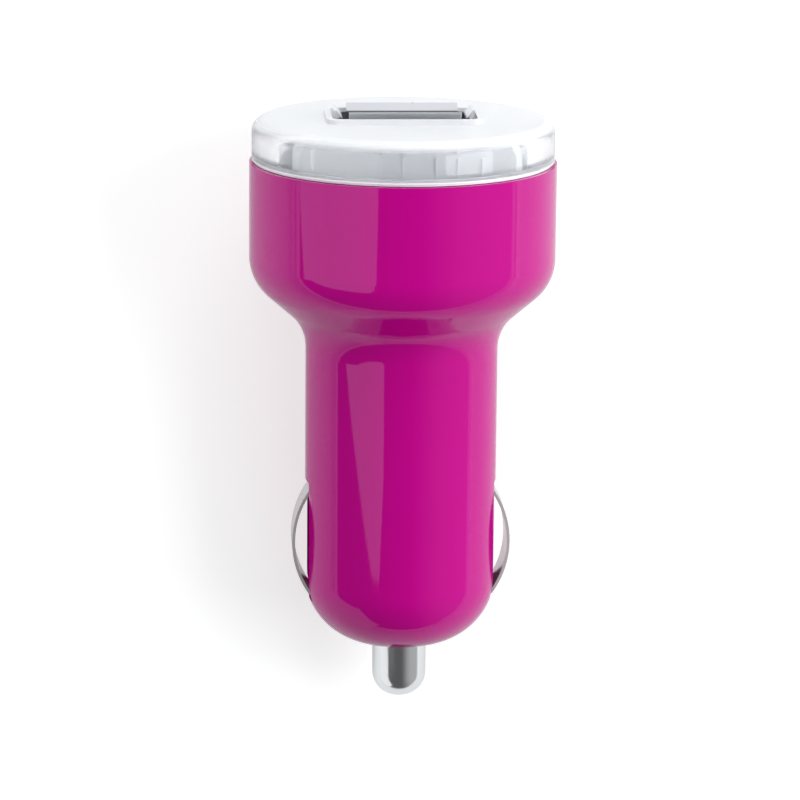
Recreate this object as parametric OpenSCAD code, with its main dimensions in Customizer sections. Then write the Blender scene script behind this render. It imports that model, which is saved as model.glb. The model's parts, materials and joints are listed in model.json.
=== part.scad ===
// Compact car charger plug with one power port, lying on its side as it rests on a table.
// The plug is drawn along Z, tip at z = 0 and port up, with its front towards -Y.
// The rest module then lays it down: the flare's corner and the nose touch the table.

/* [Body] */
// Diameter of the head
head_d = 31.4; // [28:0.1:34]
// Diameter of the barrel that enters the socket
barrel_d = 19.8; // [18.6:0.1:20.4]
// Length of the head's straight part, from the flare's corner to the seam
head_len = 12.1; // [10:0.1:16]
// Length of the barrel, from the nose to the flare's corner
barrel_len = 33.4; // [31:0.1:40]
// Slope of the flare, measured from the plug's axis
flare_angle = 49; // [42:1:56]
// Radius of the flare's outer corner
flare_round = 4.9; // [3:0.1:6]
// Radius of the hollow corner between flare and barrel
neck_round = 4.9; // [3:0.1:6]
// Radius of the rounded nose
nose_round = 6.9; // [5:0.1:6.9]
// Wall thickness of the moulded housing
wall = 1.6; // [1.3:0.1:1.9]
// Wall thickness round the straight head
head_wall = 1.7; // [1.5:0.1:2]
// Length of the guide bore in the nose
guide_len = 2.4; // [2:0.1:3.2]

/* [Cap] */
// Height of the clear cap above the seam
cap_h = 4.4; // [4:0.1:6]
// Step from the housing's edge in to the cap's edge
cap_inset = 0.25; // [0.1:0.05:0.5]
// Radius of the cap's outer edge
cap_round = 1.3; // [0.6:0.1:2]
// Thickness of the cap's top plate
cap_plate = 1.1; // [0.8:0.1:1.5]
// Depth of the skirt that snaps into the head
skirt_depth = 3.5; // [3:0.1:5]
// Wall thickness of the skirt
skirt_wall = 1.2; // [1:0.1:1.6]
// Size of the bright groove round the cap's lower edge
seam_groove = 0.25; // [0.15:0.05:0.4]
// Radius of the snap bead on the skirt
bead_r = 0.3; // [0.2:0.05:0.4]
// Height of the snap bead's middle below the seam
bead_drop = 1.6; // [1.4:0.1:2]
// Width of the rib that keys the cap to the housing
key_w = 2; // [1.5:0.1:3]
// Clearance between the cap and what it fits
cap_fit = 0.1; // [0.05:0.01:0.2]
// Gap left under the cap's wall where it sits on the head
seat_gap = 0.05; // [0.02:0.01:0.1]

/* [Port frame] */
// Width of the ribbed frame round the port
frame_w = 21.2; // [20.5:0.1:24]
// Depth of the ribbed frame, front to back
frame_d = 15; // [13:0.1:17]
// Wall thickness of the ribbed frame
frame_wall = 1.2; // [1:0.1:1.5]
// Thickness of the frame's flange
flange_t = 1.2; // [1:0.1:1.6]
// Width of the frame's ribs
rib_w = 0.25; // [0.2:0.05:0.5]
// How far the ribs stand out from the frame
rib_out = 0.25; // [0.15:0.05:0.35]
// Height of the ledge in the head that carries the frame
ledge_t = 1; // [0.8:0.1:1.5]
// Width of that ledge
ledge_w = 1.2; // [0.8:0.1:1.5]

/* [Port] */
// Inner width of the port's shell
port_w = 12.5; // [12.3:0.05:12.8]
// Inner height of the port's shell
port_h = 5.12; // [5.05:0.01:5.3]
// Height of the collar that the cap's face raises round the port
collar_h = 0.5; // [0.3:0.05:0.8]
// Width of that collar
collar_w = 0.6; // [0.4:0.05:1]
// Depth of the port's shell below the cap's face
port_depth = 13.5; // [13:0.1:14.5]
// Sheet thickness of the port's shell
shell_t = 0.3; // [0.25:0.01:0.35]
// Corner radius inside the port's shell
shell_round = 0.5; // [0.3:0.05:0.8]
// How far the flared lips stand above the collar
lip_rise = 0.6; // [0.5:0.05:1]
// How far the flared lips spread outwards
lip_spread = 0.65; // [0.4:0.05:0.8]
// Width of the front and back lips
lip_w = 11.4; // [9:0.1:11.5]
// Width of the side lips
side_lip_w = 3.8; // [3:0.1:4.2]
// Clearance round the port's shell and lips
port_fit = 0.15; // [0.1:0.01:0.2]
// Thickness of the port's tongue
tongue_t = 1.84; // [1.7:0.01:1.9]
// Width of the port's tongue
tongue_w = 11.1; // [10.8:0.1:11.4]
// Gap between the tongue and the shell in front of it
tongue_gap = 0.75; // [0.7:0.01:0.9]
// Distance from the cap's face down to the tongue's end
tongue_inset = 0.9; // [0.6:0.1:1.4]
// Height of the moulded base that closes the port's shell
tongue_base = 3.5; // [3:0.1:4]
// Width of a port pin
pin_w = 1; // [0.9:0.05:1.1]
// Thickness of a port pin
pin_t = 0.3; // [0.25:0.01:0.35]
// Distance from the port's middle to the inner pins
inner_pin_x = 1; // [0.9:0.05:1.1]
// Distance from the port's middle to the outer pins
outer_pin_x = 3.5; // [3.3:0.05:3.7]
// Length of pin or leg that stands out below the board
solder_tail = 0.6; // [0.4:0.1:0.8]

/* [Tip contact] */
// Diameter of the tip contact
tip_d = 5.6; // [4.8:0.05:5.8]
// Length of the tip contact outside the nose
tip_reach = 6.2; // [5:0.1:7]
// Radius of the tip's rounded end
tip_round = 2.5; // [1.5:0.1:2.7]
// Travel of the tip contact when it is pressed in
tip_travel = 2.5; // [1.5:0.1:3]
// Running clearance of the tip contact, on the radius
tip_fit = 0.08; // [0.04:0.01:0.1]
// Diameter of the flange that keeps the tip in the nose
tip_flange_d = 7.4; // [6.8:0.1:8]
// Thickness of that flange
tip_flange_t = 0.9; // [0.7:0.1:1.2]
// Diameter of the stem that guides the spring
stem_d = 3; // [2.4:0.1:3.2]
// Length of that stem
stem_len = 2.4; // [1.5:0.1:3]
// Wire diameter of the tip spring
wire_d = 0.5; // [0.35:0.05:0.6]
// Clearance between the stem and the spring
spring_fit = 0.3; // [0.2:0.05:0.5]
// Number of turns of the tip spring
spring_turns = 5; // [4:1:6]
// Length of the tip spring when the tip is pressed right in
spring_closed = 4.9; // [4.5:0.1:6]

/* [Side contacts] */
// Length of the slots in the barrel
slot_len = 12.8; // [11.5:0.1:13.5]
// Width of the slots in the barrel
slot_w = 4.9; // [4.4:0.1:5.4]
// Distance from the nose to the middle of the slots
slot_rise = 10.9; // [10.6:0.1:14]
// Thickness of the spring strip
strip_t = 0.3; // [0.2:0.05:0.35]
// Clearance between a strip and its slot, on each side and in the pocket
strip_fit = 0.25; // [0.2:0.01:0.35]
// Gap between the strip's legs and the ends of the slot
leg_gap = 0.8; // [0.6:0.1:1.2]
// Travel of a side contact when it is pressed in
bow_travel = 1.2; // [1:0.05:1.6]
// How far a pressed side contact still stands out from the barrel
bow_stand = 0.2; // [0.1:0.05:0.4]
// Length of the foot at the nose's end, past the leg
nose_foot = 1.2; // [1:0.1:1.6]
// Length of the foot at the head's end, past the leg
head_foot = 2.8; // [2:0.1:3.5]
// Thickness of the barrel's wall outside the pockets that the feet bear on
pocket_wall = 1.75; // [1.65:0.05:1.9]

/* [Circuit board] */
// Thickness of the circuit board
board_t = 1.2; // [1:0.1:1.6]
// Width of the board in the barrel
board_w = 13.2; // [12.4:0.1:13.4]
// Gap between the board's edges and the port frame around it
board_side_gap = 0.8; // [0.5:0.1:1.5]
// Gap between the port's shell and the board
board_gap = 0.05; // [0.03:0.01:0.1]
// Distance from the cap's face down to the board's end
board_inset = 2.6; // [2.4:0.1:4]
// Length of the board's wide part
board_head_len = 14.4; // [13:0.1:15]
// Distance from the terminal plate's face to the board's end
board_tail = 0.4; // [0.2:0.1:1]
// Clearance of the board in its rails
rail_fit = 0.1; // [0.05:0.01:0.2]
// Length of the rails that hold the board
rail_len = 10; // [6:0.5:12]
// Thickness of a rail's lips
rail_lip = 1; // [0.8:0.1:1.2]

/* [Components] */
// Diameter of the two capacitors' cans
can_d = 6.3; // [5:0.1:6.3]
// Share of the length left for the two cans that the input capacitor takes
input_can_share = 0.56; // [0.45:0.01:0.6]
// Depth of the rolled groove in a can
can_groove = 0.35; // [0.2:0.05:0.5]
// Diameter of the cans' wire leads
lead_d = 0.5; // [0.4:0.05:0.6]
// Diameter of the inductor's flanges
inductor_d = 6.6; // [5:0.1:6.6]
// Height of the inductor
inductor_h = 5; // [4:0.1:6]
// Thickness of the inductor's flanges
inductor_flange = 0.8; // [0.6:0.1:1]
// Diameter of the inductor's waist
inductor_waist_d = 3; // [2:0.1:3.4]
// Diameter of the winding wire
winding_wire_d = 0.45; // [0.3:0.05:0.5]
// Length of the converter chip
chip_len = 5; // [4:0.1:5]
// Width of the converter chip's body
chip_w = 3.9; // [3:0.1:4]
// Height of the converter chip
chip_h = 1.5; // [1.2:0.1:1.8]
// Distance between the chip's leads
chip_pitch = 1.27; // [1:0.01:1.27]
// Length of the rectifier diode
diode_len = 4.3; // [3.5:0.1:5]
// Width of the rectifier diode
diode_w = 2.6; // [2:0.1:3]
// Height of the rectifier diode
diode_h = 2.1; // [1.5:0.1:2.3]
// Length of the small chip parts
small_len = 2; // [1.6:0.1:2.2]
// Width of the small chip parts
small_w = 1.25; // [0.8:0.05:1.4]
// Height of the resistors
resistor_h = 0.5; // [0.4:0.05:0.7]
// Height of the timing capacitor
small_cap_h = 0.9; // [0.6:0.1:1.2]
// Height of the indicator light
led_h = 0.8; // [0.6:0.1:1.2]
// Width of the terminal plate that the spring presses on
plate_w = 5.2; // [5:0.1:6]
// Thickness of the terminal plate
plate_t = 0.4; // [0.3:0.05:0.6]
// Length of the plate's leg along the board
plate_leg = 3.4; // [2:0.1:3.6]

/* [Hidden] */
$fn = 72;
// Overrun of a cut past the face it opens
over = 0.5;
// Depth that a rib or leg is set into the wall that it grows from
root = 0.3;

// Body radii and stations along the axis
head_r = head_d / 2;
barrel_r = barrel_d / 2;
nose_z = tip_reach;
neck_z = nose_z + barrel_len;
shoulder_z = neck_z + (head_r - barrel_r) / tan(flare_angle);
seam_z = shoulder_z + head_len;
face_z = seam_z + cap_h;
rim_z = face_z + collar_h;
lip_z = rim_z + lip_rise;
bore_r = barrel_r - wall;
head_bore_r = head_r - head_wall;
floor_z = nose_z + guide_len;

// Tangent lengths of the two flare fillets, and the centre of the nose's arc
flare_dir = [sin(flare_angle), cos(flare_angle)];
shoulder_cut = flare_round * tan(flare_angle / 2);
neck_cut = neck_round * tan(flare_angle / 2);
nose_centre = [barrel_r - nose_round, nose_z + nose_round];

// Cap, port frame and ledge
cap_r = head_r - cap_inset;
skirt_r = head_bore_r - cap_fit;
cap_bore_r = skirt_r - skirt_wall;
skirt_z = seam_z - skirt_depth;
seat_z = seam_z + seat_gap;
plate_z = face_z - cap_plate;
bead_z = seam_z - bead_drop;
key_out = 0.7;
key_len = 2.4;
lead_in = 0.4;
ledge_z = skirt_z - flange_t;
frame_gap = 0.2;
frame_r = cap_bore_r - frame_gap;
frame_top = plate_z - cap_fit;
frame_round = 1.5;
frame_in_r = frame_r - frame_wall;
frame_h = frame_top - skirt_z;
rib_x = [-2.6, -0.4, 2.8, 4.9, 7.2];

// Port
port_out_w = port_w + 2 * shell_t;
port_out_h = port_h + 2 * shell_t;
port_back_z = face_z - port_depth;
lip_root = 0.25;
lip_foot_z = rim_z - lip_root;
mouth_w = port_out_w + 2 * lip_spread;
mouth_h = port_out_h + 2 * lip_spread;
tongue_y = tongue_gap - port_h / 2;
pin_y = tongue_y + tongue_t;
pin_x = [-outer_pin_x, -inner_pin_x, inner_pin_x, outer_pin_x];
pin_drop = 0.7;
pin_recess = 1;
base_fit = 0.05;
leg_w = 1.8;
leg_rise = 2.5;
finger_w = 2;
finger_len = 5.5;
finger_in = 0.45;
finger_x = 3;
finger_z = port_back_z + tongue_base + 0.6;
finger_slot = 0.3;

// Tip contact, its spring and the terminal plate
tip_r = tip_d / 2;
tip_flange_z = floor_z + 0.05;
tip_flange_top = tip_flange_z + tip_flange_t;
spring_len = spring_closed + tip_travel;
terminal_z = tip_flange_top + spring_len;
spring_r = stem_d / 2 + spring_fit + wire_d / 2;

// Board
board_head_w = frame_w - 2 * (frame_wall + board_side_gap);
board_y0 = port_out_h / 2 + board_gap;
board_y1 = board_y0 + board_t;
board_z0 = terminal_z + board_tail;
board_z1 = face_z - board_inset;
board_head_z = board_z1 - board_head_len;
pin_hole_r = norm([pin_w, pin_t]) / 2 + 0.1;
leg_hole = 0.15;

// Side contacts
slot_z = nose_z + slot_rise;
strip_w = slot_w - 2 * strip_fit;
leg_z = slot_len / 2 - leg_gap - strip_t / 2;
pocket_x = barrel_r - pocket_wall;
foot_x = pocket_x - strip_fit - strip_t / 2;
bend = 0.35;
bow_out = bow_travel + bow_stand;
bow_sink = 0.45;
bow_start = barrel_r - bow_sink;
bow_rise = barrel_r + bow_out - strip_t / 2 - bow_start;
bow_r = (pow(leg_z, 2) + pow(bow_rise, 2)) / (2 * bow_rise);
bow_half = asin(leg_z / bow_r);
bow_step = bow_half / 10;
rail_z = slot_z + leg_z + head_foot + 1.2;
rail_in = board_w / 2 - 0.6;

// Places of the components along the board, and the length that the two cans share
part_gap = 0.6;
lead_out = 0.6;
input_can_z = terminal_z + plate_t + plate_leg + part_gap + lead_out;
pin_bend_z = port_back_z - pin_drop;
output_can_top = pin_bend_z - pin_t / 2 - part_gap;
cans_len = output_can_top - input_can_z - inductor_d - 2 * part_gap - lead_out;
input_can_len = cans_len * input_can_share;
output_can_len = cans_len - input_can_len;
output_can_z = output_can_top - output_can_len;
inductor_z = input_can_z + input_can_len + part_gap + inductor_d / 2;
chip_inset = 0.5;
chip_z = rail_z + chip_inset + chip_len / 2;
diode_gap = 2.4;
diode_z = chip_z + chip_len / 2 + diode_gap + diode_len / 2;
resistor_inset = 5;
resistor_z = board_z0 + resistor_inset;
resistor_gap = 3;
timing_gap = 1.6;
timing_z = resistor_z + small_w + timing_gap;
led_inset = 1.4;
led_x = (port_out_w / 2 + board_head_w / 2) / 2;
led_z = board_z1 - led_inset;

// Lying pose: the flare's outer corner and the nose both touch the table with their arcs
shoulder_centre = [head_r - flare_round, shoulder_z + shoulder_cut];
arc_span = shoulder_centre - nose_centre;
lean = atan2(arc_span[0], arc_span[1]) - asin((nose_round - flare_round) / norm(arc_span));
lift_z = shoulder_centre[0] * cos(lean) - shoulder_centre[1] * sin(lean) + flare_round;
cap_far = cos(lean) * (face_z - cap_round) + sin(lean) * (cap_r - cap_round) + cap_round;
lip_far = cos(lean) * lip_z + sin(lean) * mouth_h / 2;
tip_near = tip_round * (cos(lean) - 1) - sin(lean) * (tip_r - tip_round);
shift_y = -(max(cap_far, lip_far) + tip_near) / 2;

// Lays the plug on its side, front up, its head towards +Y
module rest() translate([0, shift_y, lift_z]) rotate([lean - 90, 0, 0]) children();

// Round part of a convex corner c, between the tangent points a and b of a circle at o
module bulge(c, a, b, o, r) {
    intersection() {
        polygon([c, a, b]);
        translate(o) circle(r = r);
    }
}

// Rectangle with round corners, about the origin
module round_rect(w, h, r) {
    square([w - 2 * r, h], center = true);
    square([w, h - 2 * r], center = true);
    for (x = [-1, 1], y = [-1, 1])
        translate([x * (w / 2 - r), y * (h / 2 - r)]) circle(r = r);
}

// Outline of a bent strip of thickness t that follows the points p
function unit(v) = v / norm(v);
function across(p, i) = let (d = unit(p[i + 1] - p[i])) [-d[1], d[0]];
function mitre(p, i) =
    let (a = across(p, max(i - 1, 0)), b = across(p, min(i, len(p) - 2)))
    (a + b) / (1 + a * b);
function strip_side(p, t, s) = [for (i = [0:len(p) - 1]) p[i] + s * mitre(p, i) * t / 2];
function reversed(p) = [for (i = [len(p) - 1:-1:0]) p[i]];
function strip_outline(p, t) = concat(strip_side(p, t, 1), reversed(strip_side(p, t, -1)));

// Places children on the board's port side, Z away from the board, at x and height z
module on_board(x, z) translate([x, board_y0, z]) rotate([90, 0, 0]) children();

// Places children on the board's other side, Z away from the board
module under_board(x, z) translate([x, board_y1, z]) rotate([-90, 0, 0]) children();

// Outer form of head, flare, barrel and nose
module housing_outline() {
    shoulder = [head_r, shoulder_z];
    neck = [barrel_r, neck_z];
    nose = [barrel_r, nose_z];
    shoulder_a = shoulder + [0, shoulder_cut];
    shoulder_b = shoulder - flare_dir * shoulder_cut;
    neck_a = neck - [0, neck_cut];
    neck_b = neck + flare_dir * neck_cut;
    nose_a = nose + [0, nose_round];
    nose_b = nose - [nose_round, 0];
    difference() {
        polygon([
            [0, nose_z], nose_b, nose_a, neck_a, neck_b,
            shoulder_b, shoulder_a, [head_r, seam_z], [0, seam_z]
        ]);
        translate([barrel_r + neck_round, neck_a[1]]) circle(r = neck_round);
    }
    bulge(shoulder, shoulder_a, shoulder_b, shoulder_centre, flare_round);
    bulge(nose, nose_a, nose_b, nose_centre, nose_round);
}

// Hollow of the housing, a wall's thickness inside that form
module housing_hollow() {
    slant = wall / cos(flare_angle);
    polygon([
        [0, nose_centre[1]], [bore_r, nose_centre[1]],
        [bore_r, neck_z + wall * tan(flare_angle / 2)],
        [head_bore_r, neck_z + (head_bore_r - barrel_r + slant) / tan(flare_angle)],
        [head_bore_r, seam_z + over], [0, seam_z + over]
    ]);
    intersection() {
        translate([0, floor_z]) square([bore_r, nose_centre[1] - floor_z]);
        union() {
            translate(nose_centre) circle(r = nose_round - wall);
            square(nose_centre);
        }
    }
}

// Ledge in the head that the port frame sits on
module ledge() {
    rotate_extrude() polygon([
        [head_bore_r + root, ledge_z], [head_bore_r - ledge_w, ledge_z],
        [head_bore_r - ledge_w, ledge_z - ledge_t],
        [head_bore_r + root, ledge_z - ledge_t - ledge_w - root]
    ]);
}

// Grooved rails in the barrel that hold the board's edges
module board_rails() {
    intersection() {
        translate([0, 0, rail_z]) cylinder(r = bore_r + root, h = rail_len);
        for (s = [-1, 1])
            translate([s * (rail_in + bore_r / 2), (board_y0 + board_y1) / 2, rail_z + rail_len / 2])
                cube([bore_r, board_t + 2 * rail_lip, rail_len], center = true);
    }
}

module board_room() {
    translate([0, (board_y0 + board_y1) / 2, rail_z + rail_len / 2])
        cube([board_w + 2 * rail_fit, board_t + 2 * rail_fit, rail_len + 2 * over], center = true);
}

// Slots for the side contacts, and the flat pockets behind them for the contacts' feet
module contact_slots() {
    pocket_low = slot_z - leg_z - nose_foot - 2 * strip_fit;
    pocket_high = slot_z + leg_z + head_foot + 2 * strip_fit;
    translate([0, 0, slot_z]) cube([2 * (barrel_r + over), slot_w, slot_len], center = true);
    translate([0, 0, (pocket_low + pocket_high) / 2])
        cube([2 * pocket_x, slot_w, pocket_high - pocket_low], center = true);
}

module housing() {
    color([0.76, 0.0, 0.53]) rest() difference() {
        union() {
            difference() {
                rotate_extrude() housing_outline();
                rotate_extrude() housing_hollow();
            }
            ledge();
            board_rails();
        }
        translate([0, 0, nose_z - over]) cylinder(r = tip_r + tip_fit, h = guide_len + 2 * over);
        contact_slots();
        board_room();
        rotate_extrude() translate([head_bore_r, bead_z]) circle(r = bead_r + cap_fit);
        translate([-key_w / 2 - cap_fit, head_bore_r - over, seam_z - key_len - cap_fit])
            cube([key_w + 2 * cap_fit, over + key_out + cap_fit, key_len + cap_fit + over]);
    }
}

// Clear cap: face plate, thick wall, and the skirt with its snap bead
module cap() {
    edge = [cap_r, face_z];
    edge_a = edge - [0, cap_round];
    edge_b = edge - [cap_round, 0];
    window_w = mouth_w + 2 * port_fit;
    window_h = mouth_h + 2 * port_fit;
    window_round = shell_t + shell_round;
    color([0.93, 0.94, 0.97, 0.6]) rest() difference() {
        union() {
            rotate_extrude() {
                polygon([
                    [0, plate_z], [cap_bore_r, plate_z], [cap_bore_r, skirt_z],
                    [skirt_r - lead_in, skirt_z], [skirt_r, skirt_z + lead_in], [skirt_r, seat_z],
                    [cap_r - seam_groove, seat_z], [cap_r - seam_groove, seat_z + seam_groove],
                    [cap_r, seat_z + seam_groove], edge_a, edge_b, [0, face_z]
                ]);
                bulge(edge, edge_a, edge_b, edge - [cap_round, cap_round], cap_round);
                translate([skirt_r, bead_z]) circle(r = bead_r);
            }
            translate([-key_w / 2, skirt_r - root, seam_z - key_len])
                cube([key_w, root + key_out, key_len + root]);
            translate([0, 0, face_z - root]) linear_extrude(collar_h + root)
                round_rect(window_w + 2 * collar_w, window_h + 2 * collar_w, window_round + collar_w);
        }
        translate([0, 0, plate_z - over]) linear_extrude(cap_plate + collar_h + 2 * over)
            round_rect(window_w, window_h, window_round);
    }
}

// Block with flat sides and round ends, and a rounded top edge
module frame_block(r, w, d, h) {
    edge = [r, h];
    edge_a = edge - [0, frame_round];
    edge_b = edge - [frame_round, 0];
    intersection() {
        rotate_extrude() {
            polygon([[0, 0], [r, 0], edge_a, edge_b, [0, h]]);
            bulge(edge, edge_a, edge_b, edge - [frame_round, frame_round], frame_round);
        }
        translate([-w / 2, -d / 2, 0]) cube([w, d, h]);
    }
}

// Ribbed frame round the port, seen through the cap, with the flange that the skirt clamps
module port_frame() {
    color([0.82, 0.83, 0.85]) rest() difference() {
        union() {
            translate([0, 0, ledge_z]) cylinder(r = skirt_r, h = flange_t);
            translate([0, 0, skirt_z]) frame_block(frame_r, frame_w, frame_d, frame_h);
            for (x = rib_x, s = [-1, 1])
                translate([x, s * frame_d / 2, skirt_z + (frame_h - frame_round - root) / 2])
                    cube([rib_w, 2 * rib_out, frame_h - frame_round + root], center = true);
        }
        translate([0, 0, ledge_z - over]) intersection() {
            cylinder(r = frame_in_r, h = flange_t + over + frame_h - frame_wall);
            translate([frame_wall - frame_w / 2, frame_wall - frame_d / 2, 0])
                cube([frame_w - 2 * frame_wall, frame_d - 2 * frame_wall, frame_h + flange_t]);
        }
        translate([0, 0, frame_top - frame_wall - over]) linear_extrude(frame_wall + 2 * over)
            round_rect(port_out_w + 2 * port_fit, port_out_h + 2 * port_fit, shell_t + shell_round);
    }
}

// One flared lip of the port, on the side whose inner wall is at distance a, w wide
module lip(a, w) {
    rotate([90, 0, 0]) translate([0, 0, -w / 2]) linear_extrude(w) polygon([
        [a, lip_foot_z - root], [a + shell_t, lip_foot_z - root], [a + shell_t, lip_foot_z],
        [a + shell_t + lip_spread, lip_z], [a + lip_spread, lip_z], [a, lip_foot_z]
    ]);
}

// Sprung finger in the port's wide side, bent in from its root
module finger() {
    wall_y = port_h / 2 + shell_t / 2;
    path = [
        [wall_y, finger_z - root], [wall_y, finger_z],
        [wall_y - finger_in, finger_z + finger_len * 0.75], [wall_y - shell_t / 2, finger_z + finger_len]
    ];
    translate([-finger_w / 2, 0, 0]) rotate([90, 0, 90]) linear_extrude(finger_w)
        polygon(strip_outline(path, shell_t));
}

// Folded metal shell of the port: sprung fingers, four flared lips and legs through the board
module usb_shell() {
    tube_h = lip_foot_z - port_back_z;
    window_w = finger_w + 2 * finger_slot;
    leg_y = port_h / 2 - shell_round;
    color([0.78, 0.79, 0.81]) rest() {
        difference() {
            translate([0, 0, port_back_z]) linear_extrude(tube_h) difference() {
                round_rect(port_out_w, port_out_h, shell_round + shell_t);
                round_rect(port_w, port_h, shell_round);
            }
            for (x = [-1, 1])
                translate([x * finger_x - window_w / 2, -port_out_h, finger_z])
                    cube([window_w, 2 * port_out_h, finger_len + finger_slot]);
        }
        for (x = [-1, 1], s = [0, 180])
            rotate([0, 0, s]) translate([x * finger_x, 0, 0]) finger();
        for (s = [0, 180]) {
            rotate([0, 0, s]) lip(port_w / 2, side_lip_w);
            rotate([0, 0, s + 90]) lip(port_h / 2, lip_w);
        }
        for (x = [-port_out_w / 2, port_w / 2])
            translate([x, leg_y, port_back_z + leg_rise])
                cube([shell_t, board_y1 + solder_tail - leg_y, leg_w]);
    }
}

// Moulded tongue and the base that closes the shell, slotted for the pins
module usb_tongue() {
    tongue_h = port_depth - tongue_inset;
    color([0.93, 0.93, 0.92]) rest() difference() {
        translate([0, 0, port_back_z]) {
            linear_extrude(tongue_base)
                round_rect(port_w - 2 * base_fit, port_h - 2 * base_fit, shell_round);
            translate([-tongue_w / 2, tongue_y, 0]) cube([tongue_w, tongue_t, tongue_h]);
        }
        for (x = pin_x)
            translate([x - pin_w / 2 - base_fit, pin_y, port_back_z - over])
                cube([pin_w + 2 * base_fit, port_h, tongue_base + 2 * over]);
    }
}

// Port pin: a blade on the tongue, bent down behind the base and through the board
module usb_pin(i) {
    blade_y = pin_y + pin_t / 2;
    path = [
        [blade_y, face_z - tongue_inset - pin_recess], [blade_y, pin_bend_z],
        [board_y1 + solder_tail, pin_bend_z]
    ];
    color([0.85, 0.68, 0.3]) rest() translate([pin_x[i] - pin_w / 2, 0, 0]) rotate([90, 0, 90])
        linear_extrude(pin_w) polygon(strip_outline(path, pin_t));
}

module usb_pin_1() usb_pin(0);
module usb_pin_2() usb_pin(1);
module usb_pin_3() usb_pin(2);
module usb_pin_4() usb_pin(3);

// Turned centre contact: rounded tip, flange behind the nose and the stem in the spring
module tip_contact() {
    corner = [tip_r, 0];
    corner_a = [tip_r, tip_round];
    corner_b = [tip_r - tip_round, 0];
    color([0.8, 0.8, 0.8]) rest() {
        rotate_extrude() {
            polygon([[0, 0], corner_b, corner_a, [tip_r, tip_flange_z + root], [0, tip_flange_z + root]]);
            bulge(corner, corner_a, corner_b, [tip_r - tip_round, tip_round], tip_round);
        }
        translate([0, 0, tip_flange_z]) cylinder(d = tip_flange_d, h = tip_flange_t);
        translate([0, 0, tip_flange_z]) cylinder(d = stem_d, h = tip_flange_t + stem_len);
    }
}

// Coil spring between the tip's flange and the terminal plate
ring_sides = 8;
rings_per_turn = 16;
ring_count = spring_turns * rings_per_turn;
function ring_point(i, j) =
    let (
        turn = 360 * i / rings_per_turn,
        side = 360 * j / ring_sides,
        r = spring_r + wire_d / 2 * cos(side),
        rise = (spring_len - wire_d) * i / ring_count + wire_d / 2
    )
    [r * cos(turn), r * sin(turn), tip_flange_top + rise + wire_d / 2 * sin(side)];
module tip_spring() {
    points = [for (i = [0:ring_count], j = [0:ring_sides - 1]) ring_point(i, j)];
    walls = [
        for (i = [0:ring_count - 1], j = [0:ring_sides - 1])
            let (a = i * ring_sides, k = (j + 1) % ring_sides)
            [a + j, a + k, a + ring_sides + k, a + ring_sides + j]
    ];
    start = reversed([for (j = [0:ring_sides - 1]) j]);
    end = [for (j = [0:ring_sides - 1]) ring_count * ring_sides + j];
    color([0.7, 0.71, 0.73]) rest() polyhedron(points, concat(walls, [start, end]));
}

// Side contact: a bow through the slot, with two feet behind the wall
module side_contact() {
    bow = [
        for (a = [-bow_half:bow_step:bow_half + bow_step / 2])
            [bow_start + bow_rise - bow_r * (1 - cos(a)), bow_r * sin(a)]
    ];
    foot = [
        [foot_x, -leg_z - nose_foot], [foot_x, -leg_z - bend], [foot_x + bend, -leg_z]
    ];
    head_end = [
        [foot_x + bend, leg_z], [foot_x, leg_z + bend], [foot_x, leg_z + head_foot]
    ];
    translate([0, strip_w / 2, slot_z]) rotate([90, 0, 0]) linear_extrude(strip_w)
        polygon(strip_outline(concat(foot, bow, head_end), strip_t));
}

module left_contact() color([0.79, 0.78, 0.76]) rest() mirror([1, 0, 0]) side_contact();
module right_contact() color([0.79, 0.78, 0.76]) rest() side_contact();

// Board: wide in the head under the port, narrow in the barrel, drilled for pins and legs
module circuit_board() {
    color([0.07, 0.35, 0.2]) rest() difference() {
        union() {
            translate([-board_w / 2, board_y0, board_z0])
                cube([board_w, board_t, board_head_z - board_z0 + over]);
            translate([-board_head_w / 2, board_y0, board_head_z])
                cube([board_head_w, board_t, board_head_len]);
        }
        for (x = pin_x)
            translate([x, board_y0 - over, pin_bend_z]) rotate([-90, 0, 0])
                cylinder(r = pin_hole_r, h = board_t + 2 * over);
        for (s = [-1, 1])
            translate([
                s * (port_w + shell_t) / 2 - shell_t / 2 - leg_hole,
                board_y0 - over, port_back_z + leg_rise - leg_hole
            ])
                cube([shell_t + 2 * leg_hole, board_t + 2 * over, leg_w + 2 * leg_hole]);
    }
}

// Terminal plate: the pad that the spring presses on, and its leg along the board
module spring_plate() {
    color([0.83, 0.72, 0.42]) rest() {
        translate([-plate_w / 2, -plate_w / 2, terminal_z])
            cube([plate_w, plate_w / 2 + board_y0, plate_t]);
        translate([-plate_w / 4, board_y0 - plate_t, terminal_z])
            cube([plate_w / 2, plate_t, plate_t + plate_leg]);
    }
}

// Capacitor can lying along the board from z up, with a rolled groove and two leads
module can(z, length) {
    r = can_d / 2;
    bung = 0.4;
    groove_z = 1.4;
    lead_x = can_d / 5;
    translate([0, board_y0 - r, z]) {
        rotate_extrude() difference() {
            polygon([
                [0, 0], [r - 2 * bung, 0], [r - 2 * bung, bung / 2], [r, bung / 2],
                [r, length], [0, length]
            ]);
            translate([r + can_groove, groove_z]) circle(r = 2 * can_groove);
        }
        for (x = [-lead_x, lead_x]) {
            translate([x, 0, -lead_out]) cylinder(d = lead_d, h = lead_out + bung);
            translate([x, 0, -lead_out]) sphere(d = lead_d);
            translate([x, 0, -lead_out]) rotate([-90, 0, 0]) cylinder(d = lead_d, h = r);
        }
    }
}

module input_capacitor() color([0.13, 0.15, 0.3]) rest() can(input_can_z, input_can_len);
module output_capacitor() color([0.13, 0.15, 0.3]) rest() can(output_can_z, output_can_len);

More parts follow.
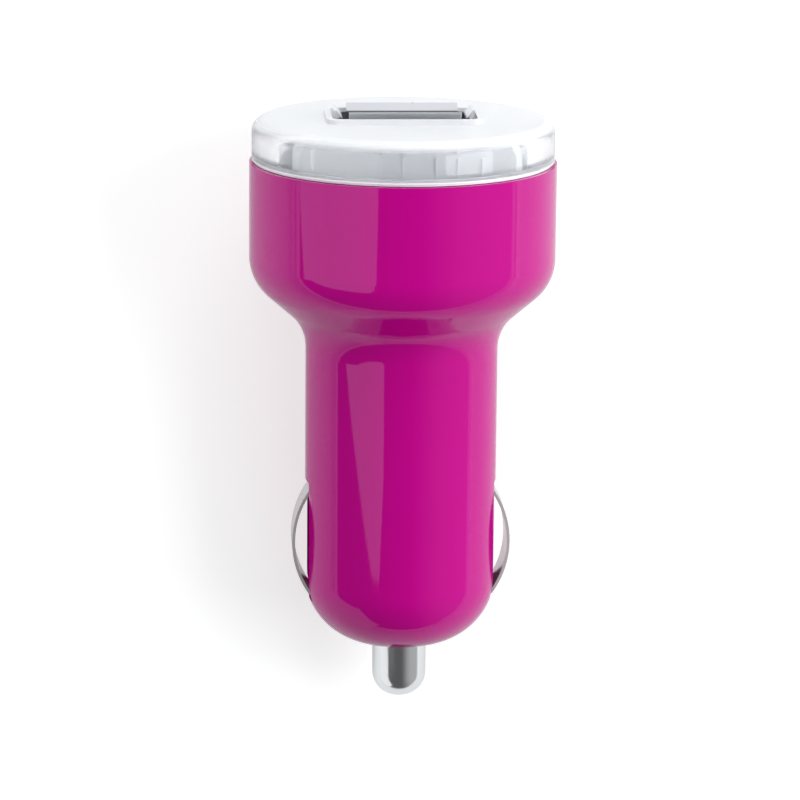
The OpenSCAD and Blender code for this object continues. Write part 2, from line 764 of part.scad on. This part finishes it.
// Ferrite drum that the inductor's wire is wound on
module inductor_core() {
    color([0.2, 0.2, 0.21]) rest() on_board(0, inductor_z) {
        cylinder(d = inductor_d, h = inductor_flange);
        cylinder(d = inductor_waist_d, h = inductor_h);
        translate([0, 0, inductor_h - inductor_flange]) cylinder(d = inductor_d, h = inductor_flange);
    }
}

// Copper winding round the drum's waist
module inductor_winding() {
    wire_r = winding_wire_d / 2;
    room = inductor_h - 2 * inductor_flange;
    rows = floor(room / winding_wire_d);
    outer = inductor_d / 2 - 2 * wire_r;
    color([0.75, 0.42, 0.2]) rest() on_board(0, inductor_z) rotate_extrude() {
        translate([inductor_waist_d / 2 + 0.02, inductor_flange + 0.02])
            square([outer - inductor_waist_d / 2, room - 0.04]);
        for (i = [1:rows - 1])
            translate([outer, inductor_flange + room * i / rows]) circle(r = wire_r);
    }
}

// Converter chip with its bent leads
module converter_chip() {
    lead_w = 0.4;
    lead_t = 0.2;
    reach = 1.1;
    lift = 0.1;
    path = [
        [chip_w / 2 - root, chip_h / 2], [chip_w / 2 + reach / 3, chip_h / 2],
        [chip_w / 2 + reach / 2, lead_t / 2], [chip_w / 2 + reach, lead_t / 2]
    ];
    color([0.12, 0.12, 0.13]) rest() under_board(0, chip_z) {
        translate([-chip_w / 2, -chip_len / 2, lift]) cube([chip_w, chip_len, chip_h - lift]);
        for (i = [-1.5:1:1.5], s = [0, 180])
            rotate([0, 0, s]) translate([0, i * chip_pitch + lead_w / 2, 0]) rotate([90, 0, 0])
                linear_extrude(lead_w) polygon(strip_outline(path, lead_t));
    }
}

// Block-shaped part with metal end caps that wrap its ends
module chip_part(length, width, height, cap_len) {
    skin = 0.05;
    translate([-length / 2 + skin, -width / 2 + skin, 0])
        cube([length - 2 * skin, width - 2 * skin, height - skin]);
    for (x = [-length / 2, length / 2 - cap_len])
        translate([x, -width / 2, 0]) cube([cap_len, width, height]);
}

module rectifier_diode() {
    tab = 0.5;
    color([0.15, 0.15, 0.16]) rest() under_board(0, diode_z) rotate([0, 0, 90]) {
        translate([0, 0, diode_h / 2]) cube([diode_len, diode_w, diode_h], center = true);
        translate([0, 0, tab / 4]) cube([diode_len + 2 * tab, diode_w / 2, tab / 2], center = true);
    }
}

module timing_capacitor() {
    color([0.72, 0.6, 0.45]) rest() under_board(0, timing_z)
        chip_part(small_len, small_w, small_cap_h, small_len / 4);
}

module resistor(i) {
    color([0.1, 0.1, 0.11]) rest() under_board((i - 1) * resistor_gap, resistor_z)
        chip_part(small_len, small_w, resistor_h, small_len / 5);
}

module resistor_1() resistor(0);
module resistor_2() resistor(1);
module resistor_3() resistor(2);

// Light that shines through the cap, on the board beside the port
module indicator_led() {
    lens = small_w * 0.8;
    color([0.95, 0.93, 0.85]) rest() on_board(led_x, led_z) rotate([0, 0, 90]) {
        translate([-small_len / 2, -small_w / 2, 0]) cube([small_len, small_w, led_h / 2]);
        translate([0, 0, led_h / 2 - over / 2]) cylinder(d = lens, h = led_h / 2 + over / 2);
    }
}

housing();
cap();
port_frame();
usb_shell();
usb_tongue();
usb_pin_1();
usb_pin_2();
usb_pin_3();
usb_pin_4();
tip_contact();
tip_spring();
left_contact();
right_contact();
circuit_board();
spring_plate();
input_capacitor();
output_capacitor();
inductor_core();
inductor_winding();
converter_chip();
rectifier_diode();
timing_capacitor();
resistor_1();
resistor_2();
resistor_3();
indicator_led();
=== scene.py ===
# Looks of the car charger plug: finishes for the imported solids, and a plain white studio.
import json
import math

import bpy
from mathutils import Matrix, Vector

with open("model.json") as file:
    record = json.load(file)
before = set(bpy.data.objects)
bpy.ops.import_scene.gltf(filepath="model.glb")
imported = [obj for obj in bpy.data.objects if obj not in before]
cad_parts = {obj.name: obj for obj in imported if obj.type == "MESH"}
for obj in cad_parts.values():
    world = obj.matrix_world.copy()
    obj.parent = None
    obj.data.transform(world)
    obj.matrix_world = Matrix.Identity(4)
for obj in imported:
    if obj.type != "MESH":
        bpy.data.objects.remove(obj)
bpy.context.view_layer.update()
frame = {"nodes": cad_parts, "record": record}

MM = 0.001
# From the end of the tip to the nose, in metres
NOSE_HEIGHT = 6.2 * MM
# From the seam to the cap's face, in mm
CAP_HEIGHT = 4.4

MOUNTS = {mount["name"]: mount for mount in frame["record"]["mounts"]}
# The plug's own axes as it lies on the table, with the origin at the end of the tip
SIDE = Vector((1, 0, 0))
AXIS = Vector(MOUNTS["usb_port"]["axis"]).normalized()
FRONT = SIDE.cross(AXIS)
ORIGIN = Vector(MOUNTS["plug_body"]["pos_m"]) - AXIS * NOSE_HEIGHT
# Heights of the cap's face and of the seam below it, in mm from the end of the tip
FACE = (Vector(MOUNTS["usb_port"]["pos_m"]) - ORIGIN) @ AXIS / MM
SEAM = FACE - CAP_HEIGHT
# Between these distances towards the front, in mm, the ribbed block's panels turn into its ribs' crests,
# which get a painted highlight
CREST_HIGHLIGHT = (7.56, 7.62)

WHITE = (1, 1, 1, 1)
BLACK = (0, 0, 0, 1)
# Sockets of a Mix node: its factor, and its two sides for numbers and for colours
FACTOR = 0
NUMBER_A, NUMBER_B, NUMBER_OUT = 2, 3, 0
COLOUR_A, COLOUR_B, COLOUR_OUT = 6, 7, 2


def on_plug(x, front, height):
    """A point in the plug's own frame, in metres: across, towards the front, and up from the tip's end."""
    return ORIGIN + SIDE * x + FRONT * front + AXIS * height


def linear(rgb):
    """sRGB bytes as linear colour."""
    def channel(v):
        v /= 255
        return v / 12.92 if v <= 0.04045 else ((v + 0.055) / 1.055) ** 2.4
    return tuple(channel(v) for v in rgb) + (1.0,)


class Material:
    """A node material with a Principled shader and a few helpers to wire it."""

    def __init__(self, name):
        self.mat = bpy.data.materials.new(name)
        self.mat.use_nodes = True
        self.tree = self.mat.node_tree
        self.shader = self.tree.nodes["Principled BSDF"]

    def set(self, **values):
        """Set the shader's inputs, with _ for each space in their names."""
        for key, value in values.items():
            self.shader.inputs[key.replace("_", " ")].default_value = value
        return self

    def node(self, kind, **values):
        """Add a node; each value is a property of the node or else one of its inputs."""
        node = self.tree.nodes.new(kind)
        for key, value in values.items():
            if hasattr(node, key):
                setattr(node, key, value)
            else:
                node.inputs[key.replace("_", " ")].default_value = value
        return node

    def link(self, output, socket):
        self.tree.links.new(output, socket)

    def feed(self, name, output):
        """Link an output to the shader's socket of that name."""
        self.link(output, self.shader.inputs[name])

    def noise(self, scale):
        """Noise from 0 to 1, fixed to the plug."""
        coords = self.node("ShaderNodeTexCoord")
        noise = self.node("ShaderNodeTexNoise", Scale=scale, Detail=3.0)
        self.link(coords.outputs["Object"], noise.inputs["Vector"])
        return noise.outputs["Fac"]

    def mix(self, factor, *sides):
        """A colour between two others, each given as a colour or as another node's output."""
        mix = self.node("ShaderNodeMix", data_type="RGBA")
        self.link(factor, mix.inputs[FACTOR])
        for index, side in zip((COLOUR_A, COLOUR_B), sides):
            if isinstance(side, bpy.types.NodeSocket):
                self.link(side, mix.inputs[index])
            else:
                mix.inputs[index].default_value = side
        return mix.outputs[COLOUR_OUT]

    def tint(self, low, high, scale):
        """A colour that wanders between two others, which are given in sRGB bytes."""
        return self.mix(self.noise(scale), linear(low), linear(high))

    def rough(self, low, high, scale):
        """Roughness that wanders between two values."""
        ramp = self.node("ShaderNodeMapRange", To_Min=low, To_Max=high)
        self.link(self.noise(scale), ramp.inputs["Value"])
        self.feed("Roughness", ramp.outputs["Result"])

    def bump(self, strength, distance, scale):
        """Fine uneven skin."""
        bump = self.node("ShaderNodeBump", Strength=strength, Distance=distance)
        self.link(self.noise(scale), bump.inputs["Height"])
        self.feed("Normal", bump.outputs["Normal"])

    def along(self, direction):
        """Distance in mm along an axis of the plug, counted as in on_plug."""
        coords = self.node("ShaderNodeTexCoord")
        dot = self.node("ShaderNodeVectorMath", operation="DOT_PRODUCT")
        self.link(coords.outputs["Object"], dot.inputs[0])
        dot.inputs[1].default_value = direction / MM
        shift = self.node("ShaderNodeMath", operation="SUBTRACT")
        self.link(dot.outputs["Value"], shift.inputs[0])
        shift.inputs[1].default_value = (ORIGIN @ direction) / MM
        return shift.outputs[0]

    def band(self, value, span, result):
        """Smooth step from one result to another while the value crosses the span."""
        step = self.node("ShaderNodeMapRange", interpolation_type="SMOOTHSTEP")
        for key, number in zip(("From Min", "From Max", "To Min", "To Max"), span + result):
            step.inputs[key].default_value = number
        self.link(value, step.inputs["Value"])
        return step.outputs["Result"]


def moulded(name, low, high, rough, bump=0.02, **values):
    """Moulded plastic: two close colours, a fine skin and slightly uneven gloss."""
    m = Material(name)
    m.feed("Base Color", m.tint(low, high, scale=150))
    m.rough(rough * 0.85, rough * 1.15, scale=300)
    m.bump(bump, 0.02 * MM, scale=900)
    return m.set(**values).mat


def plated(m, colour, rough, metallic):
    """Plated skin with faint uneven gloss; with metallic below 1, it is satin and scatters some light."""
    m.feed("Base Color", colour)
    m.rough(rough * 0.8, rough * 1.2, scale=700)
    m.bump(0.03, 0.01 * MM, scale=2100)
    return m.set(Metallic=metallic).mat


def metal(name, low, high, rough, metallic=1.0):
    """Plated metal in two close colours."""
    m = Material(name)
    return plated(m, m.tint(low, high, scale=140), rough, metallic)


def port_shell():
    """Nickel-plated sheet of the port, bright on its lips, with painted shade inside the throat: a dark grey
    colour there stands in for the shade.
    """
    m = Material("nickel_sheet")
    lips = m.tint((226, 229, 236), (238, 240, 246), scale=140)
    # Painted shade: the sheet turns dark grey below a little above the cap's face, where the throat lies in
    # shade.
    clear_of_painted_shade = m.band(m.along(AXIS), (FACE + 0.25, FACE + 0.45), (0.0, 1.0))
    return plated(m, m.mix(clear_of_painted_shade, linear((96, 97, 100)), lips), 0.3, 0.7)


def clear_plastic():
    """Clear plastic of the cap: its wall shows the block inside; its top and its lower edge are milky white,
    which is a painted reflection on the top and a painted highlight along the lower edge.
    """
    m = Material("clear_plastic")
    m.feed("Base Color", m.tint((248, 249, 254), (251, 252, 255), scale=120))
    height = m.along(AXIS)
    m.feed("Roughness", m.band(height, (FACE - 0.6, FACE - 0.1), (0.06, 0.4)))
    # Less clear along the lower edge, as a painted highlight, and at the top, as a painted reflection of the
    # white around it.
    clear = m.node("ShaderNodeMath", operation="MULTIPLY")
    m.link(m.band(height, (SEAM + 0.4, SEAM + 0.5), (0.1, 1.0)), clear.inputs[0])
    m.link(m.band(height, (FACE - 1.3, FACE - 0.2), (0.95, 0.3)), clear.inputs[1])
    m.feed("Transmission Weight", clear.outputs[0])
    m.bump(0.02, 0.02 * MM, scale=500)
    return m.set(IOR=1.46).mat


def ribbed_block():
    """Frosted block in the cap: pale grey, with a painted highlight that makes the crests of its ribs a
    little lighter.
    """
    m = Material("frosted_plastic")
    panel = m.tint((246, 250, 248), (251, 254, 252), scale=260)
    # Painted highlight: the ribs' crests are painted lighter than the panels.
    crest_highlight = m.band(m.along(FRONT), CREST_HIGHLIGHT, (0.0, 1.0))
    m.feed("Base Color", m.mix(crest_highlight, panel, linear((254, 254, 254))))
    m.rough(0.3, 0.45, scale=400)
    m.bump(0.05, 0.02 * MM, scale=900)
    return m.mat


MATERIALS = {
    "magenta_plastic": moulded("magenta_plastic", (184, 0, 131), (187, 0, 134), 0.05, IOR=1.43,
                               Specular_IOR_Level=0.56, Specular_Tint=(1.0, 0.7, 0.85, 1.0)),
    "clear_plastic": clear_plastic(),
    "frosted_plastic": ribbed_block(),
    "nickel_sheet": port_shell(),
    "nickel_strip": metal("nickel_strip", (244, 244, 244), (251, 251, 251), 0.14, metallic=0.6),
    "chrome_tip": metal("chrome_tip", (238, 239, 242), (246, 247, 250), 0.16),
    "spring_wire": metal("spring_wire", (170, 172, 176), (190, 191, 195), 0.3),
    "white_plastic": moulded("white_plastic", (232, 232, 228), (240, 240, 236), 0.45),
    "plated_brass": metal("plated_brass", (222, 186, 104), (236, 202, 122), 0.22),
    "board_green": moulded("board_green", (24, 96, 58), (34, 112, 68), 0.3),
    "can_sleeve": moulded("can_sleeve", (24, 28, 62), (34, 38, 76), 0.3),
    "ferrite": moulded("ferrite", (58, 58, 62), (76, 76, 80), 0.6, bump=0.3),
    "copper_wire": metal("copper_wire", (190, 110, 60), (208, 128, 74), 0.28),
    "black_epoxy": moulded("black_epoxy", (30, 30, 32), (40, 40, 43), 0.5, bump=0.2),
    "ceramic_tan": moulded("ceramic_tan", (186, 154, 112), (200, 168, 124), 0.4),
    "led_lens": moulded("led_lens", (240, 236, 214), (248, 244, 226), 0.2),
}

for part in frame["record"]["subparts"]:
    part_mesh = frame["nodes"][part["node"]].data
    part_mesh.materials.clear()
    part_mesh.materials.append(MATERIALS[part["material_slot"]])


def link_object(name, data):
    obj = bpy.data.objects.new(name, data)
    bpy.context.scene.collection.objects.link(obj)
    return obj


def flat_piece(name, points, material):
    """Stage piece with one flat face."""
    mesh = bpy.data.meshes.new(name)
    mesh.from_pydata(points, [], [tuple(range(len(points)))])
    mesh.materials.append(material)
    obj = link_object(name, mesh)
    return obj


def glow(name, **values):
    """Matt stage material whose emission is white."""
    return Material(name).set(Specular_IOR_Level=0.0, Emission_Color=WHITE, **values)


def background_lift(tree, lifts):
    """White added to the table, by the kind of ray that sees it."""
    path = tree.nodes.new("ShaderNodeLightPath")
    total = None
    for ray, lift in lifts.items():
        add = tree.nodes.new("ShaderNodeMath")
        add.operation = "MULTIPLY_ADD"
        add.inputs[1].default_value = lift
        add.inputs[2].default_value = 0.0
        tree.links.new(path.outputs[ray], add.inputs[0])
        if total is not None:
            tree.links.new(total, add.inputs[2])
        total = add.outputs[0]
    return total


def floor():
    """White table: it takes the plug's soft shadow, and shows white to the camera and in reflections."""
    half = 1500 * MM
    m = glow("table_white", Base_Color=linear((203, 207, 205)), Roughness=0.9)
    lifts = {"Is Camera Ray": 0.54, "Is Transmission Ray": 0.25, "Is Glossy Ray": 0.23}
    m.feed("Emission Strength", background_lift(m.tree, lifts))
    corners = [(-half, -half, 0), (half, -half, 0), (half, half, 0), (-half, half, 0)]
    flat_piece("table", corners, m.mat)


def soft_panel(name, centre, facing, corners, strength):
    """Flat soft light: it shows in reflections, but hides and shadows nothing.

    It is square to the facing direction, and its corners are in mm across and up from its centre.
    """
    n = Vector(facing).normalized()
    across = Vector((0, 1, 0)).cross(n).normalized()
    up = n.cross(across)
    points = [centre + across * u * MM + up * v * MM for u, v in corners]
    panel = flat_piece(name, points, glow(name, Base_Color=BLACK, Emission_Strength=strength).mat)
    panel.visible_camera = False
    panel.visible_shadow = False
    return panel


def area_light(name, place, size, power):
    """Soft lamp aimed at the plug's middle, in metres and watts; it doesn't show in reflections."""
    lamp = bpy.data.lights.new(name, "AREA")
    lamp.shape = "RECTANGLE"
    lamp.size, lamp.size_y = size
    lamp.energy = power
    obj = link_object(name, lamp)
    obj.location = place
    middle = Vector((0, 0, 0.015))
    obj.rotation_euler = (middle - Vector(place)).to_track_quat("-Z", "Y").to_euler()
    obj.visible_glossy = False


def lights():
    """Key from the right, weak fills, a panel at the upper left that the plug mirrors, a card by the tip."""
    area_light("key", (0.49, 0.02, 0.34), (0.4, 0.5), 3.35)
    area_light("left_fill", (-0.46, 0.0, 0.07), (0.2, 0.1), 0.28)
    area_light("head_fill", (0.0, 0.22, 0.11), (0.15, 0.15), 0.23)
    # The head and the barrel mirror different stretches of the panel's lower edge, so it is stepped:
    # each stretch ends near where the photograph has its reflection end
    upper_left = Vector((-0.72, -0.3, 0.62)).normalized()
    panel_outline = [(34, -27), (55, -32), (70, -20), (72, -6), (84, 14), (92, 40), (92, 85), (-90, 85),
                     (-86, 36), (-75, 27), (-46, 9), (-13, -5), (17, -19)]
    soft_panel("left_panel", upper_left * 150 * MM, upper_left, panel_outline, 1.3)
    # The card's cut corner slants the end of its reflection in the nose
    card_outline = [(-7, -40), (12, -40), (12, 1), (1, 13), (-7, 13)]
    card = soft_panel("tip_card", on_plug(-25 * MM, 8 * MM, -6 * MM), (-1, 0, 0.3), card_outline, 0.9)
    card.visible_diffuse = False


def mixed_strength(tree, factor, low, high):
    """A number between two others; the low one may be another node's output."""
    mix = tree.nodes.new("ShaderNodeMix")
    tree.links.new(factor, mix.inputs[FACTOR])
    if isinstance(low, bpy.types.NodeSocket):
        tree.links.new(low, mix.inputs[NUMBER_A])
    else:
        mix.inputs[NUMBER_A].default_value = low
    mix.inputs[NUMBER_B].default_value = high
    return mix.outputs[NUMBER_OUT]


def studio():
    """White surroundings: a dim ceiling, lighter to the right, bright beyond the head and at the horizon."""
    world = bpy.data.worlds.new("studio")
    world.use_nodes = True
    tree = world.node_tree
    coords = tree.nodes.new("ShaderNodeTexCoord")
    split = tree.nodes.new("ShaderNodeSeparateXYZ")
    tree.links.new(coords.outputs["Generated"], split.inputs[0])
    strength = 0.1
    for axis, span, level in (("X", (0.1, 0.8), 0.42), ("Y", (0.0, 0.25), 0.66), ("Z", (0.05, 0.02), 1.0)):
        step = tree.nodes.new("ShaderNodeMapRange")
        step.interpolation_type = "SMOOTHSTEP"
        step.inputs["From Min"].default_value, step.inputs["From Max"].default_value = span
        tree.links.new(split.outputs[axis], step.inputs["Value"])
        strength = mixed_strength(tree, step.outputs["Result"], strength, level)
    # White for what is seen or lit through the clear cap
    path = tree.nodes.new("ShaderNodeLightPath")
    strength = mixed_strength(tree, path.outputs["Is Transmission Ray"], strength, 1.0)
    back = tree.nodes["Background"]
    back.inputs["Color"].default_value = WHITE
    tree.links.new(strength, back.inputs["Strength"])
    bpy.context.scene.world = world


def camera():
    """Looks down on the lying plug, as the photograph does: a long lens, tipped towards the head."""
    distance = 400 * MM
    tip_up = math.radians(13.35)
    turned = math.radians(3.4)
    roll = math.radians(0.5)
    picture_px = 800
    scale_px_per_mm = 9.67
    aim = on_plug(-0.11 * MM, 0, 31.7 * MM)
    level = FRONT * math.cos(turned) - SIDE * math.sin(turned)
    back = (level * math.cos(tip_up) + AXIS * math.sin(tip_up)).normalized()
    right = AXIS.cross(back).normalized()
    up = back.cross(right)
    turn = Matrix.Rotation(roll, 3, back)
    right, up = turn @ right, turn @ up
    data = bpy.data.cameras.new("camera")
    data.sensor_width = 36
    data.lens = scale_px_per_mm * distance / MM / picture_px * data.sensor_width
    data.clip_start = 0.01
    obj = link_object("camera", data)
    basis = Matrix((right, up, back)).transposed().to_4x4()
    obj.matrix_world = Matrix.Translation(aim + back * distance) @ basis
    bpy.context.scene.camera = obj


floor()
lights()
studio()
camera()
bpy.context.scene.view_settings.view_transform = "Standard"
